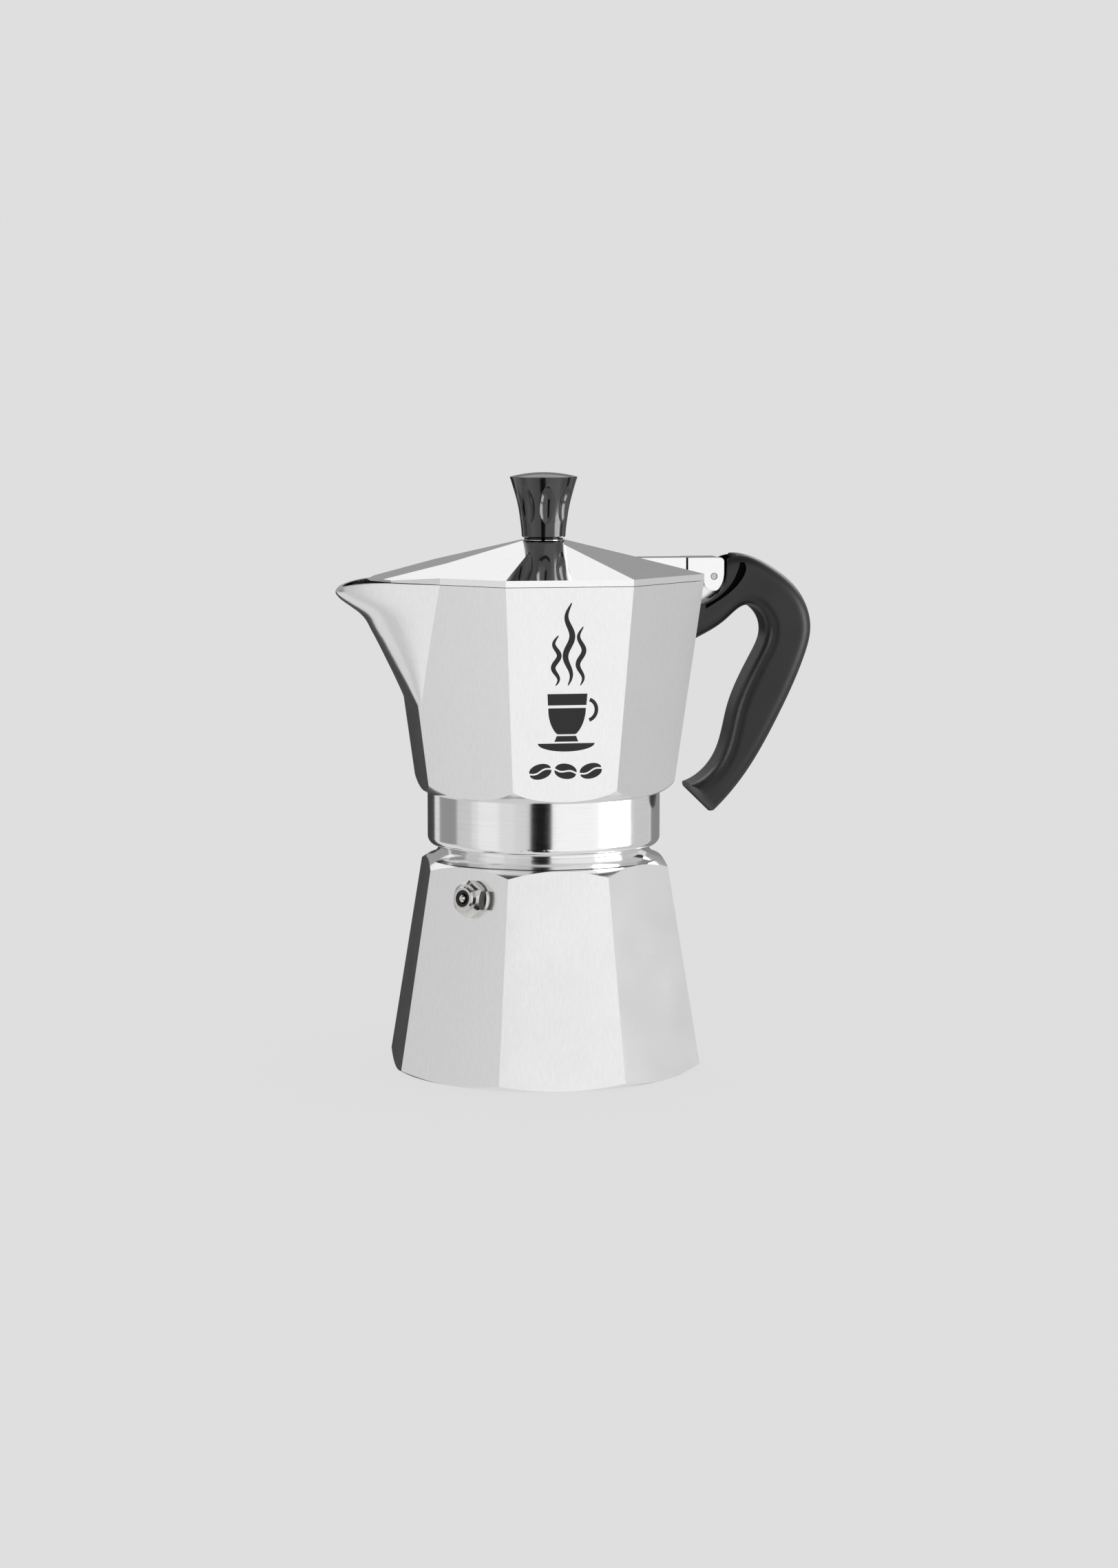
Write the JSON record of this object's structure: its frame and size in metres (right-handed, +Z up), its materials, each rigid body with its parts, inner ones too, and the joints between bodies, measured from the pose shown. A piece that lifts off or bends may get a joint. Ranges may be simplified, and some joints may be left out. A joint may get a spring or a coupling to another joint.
{
  "type": "moka pot",
  "caption": "Octagonal stovetop coffee maker: boiler with safety valve, funnel, screw-on collector with spout, hinged lid with knob, and a side handle.",
  "frame": {"origin": "centre of the boiler's underside", "axes": "+Z up along the pot's axis, -X towards the spout, +X towards the handle"},
  "size_m": [0.1716, 0.1094, 0.2135],
  "materials": {
    "boiler": "satin brushed facets",
    "funnel": "pressed, satin",
    "funnel_filter_disc": "pierced, satin",
    "gasket": "pale silicone rubber",
    "filter_plate": "pierced, satin",
    "collector": "satin brushed facets, turned ring",
    "column_cap": "satin",
    "lid": "polished",
    "safety_valve_body": "machined",
    "safety_valve_washer": "machined",
    "safety_valve_retainer": "machined",
    "safety_valve_plunger": "machined",
    "safety_valve_spring": "spring wire",
    "hinge_pin": "drawn wire",
    "knob": "glossy black",
    "knob_insert": "machined",
    "knob_screw": "zinc plated",
    "knob_washer": "zinc plated",
    "handle": "satin black",
    "handle_screw": "zinc plated",
    "handle_washer": "zinc plated"
  },
  "bodies": {
    "boiler": {"boiler": "boiler", "safety_valve_body": "safety_valve_body", "safety_valve_washer": "safety_valve_washer", "safety_valve_retainer": "safety_valve_retainer", "safety_valve_spring": "safety_valve_spring", "funnel": "funnel", "funnel_filter_disc": "funnel_filter_disc"},
    "valve_plunger": {"safety_valve_plunger": "safety_valve_plunger"},
    "seal": {"gasket": "gasket", "filter_plate": "filter_plate"},
    "collector": {"collector": "collector", "column_cap": "column_cap", "hinge_pin": "hinge_pin", "handle": "handle", "handle_screw": "handle_screw", "handle_washer": "handle_washer"},
    "lid": {"lid": "lid", "knob": "knob", "knob_insert": "knob_insert", "knob_screw": "knob_screw", "knob_washer": "knob_washer"}
  },
  "joints": [
    {"name": "valve_slide", "type": "slide", "parent": "boiler", "child": "valve_plunger", "axis": [-0.7307, -0.6649, 0.1548], "range_m": [0, 0.0015], "stiffness_N_per_m": 400, "springref_m": -0.004, "deforming": ["safety_valve_spring"]},
    {"name": "collector_rise", "type": "slide", "parent": "boiler", "child": "seal", "axis": [0, 0, 1], "range_m": [0, 0.0091]},
    {"name": "collector_twist", "type": "hinge", "parent": "seal", "child": "collector", "pos_m": [0, 0, 0.0855], "axis": [0, 0, 1], "range_deg": [0, 1080]},
    {"name": "lid_hinge", "type": "hinge", "parent": "collector", "child": "lid", "pos_m": [0.0608, 0, 0.1762], "axis": [0, 1, 0], "range_deg": [0, 98]}
  ],
  "couplings": [
    {"joint": "collector_rise", "follows": "collector_twist", "m_per_rad": 0.00047746}
  ]
}
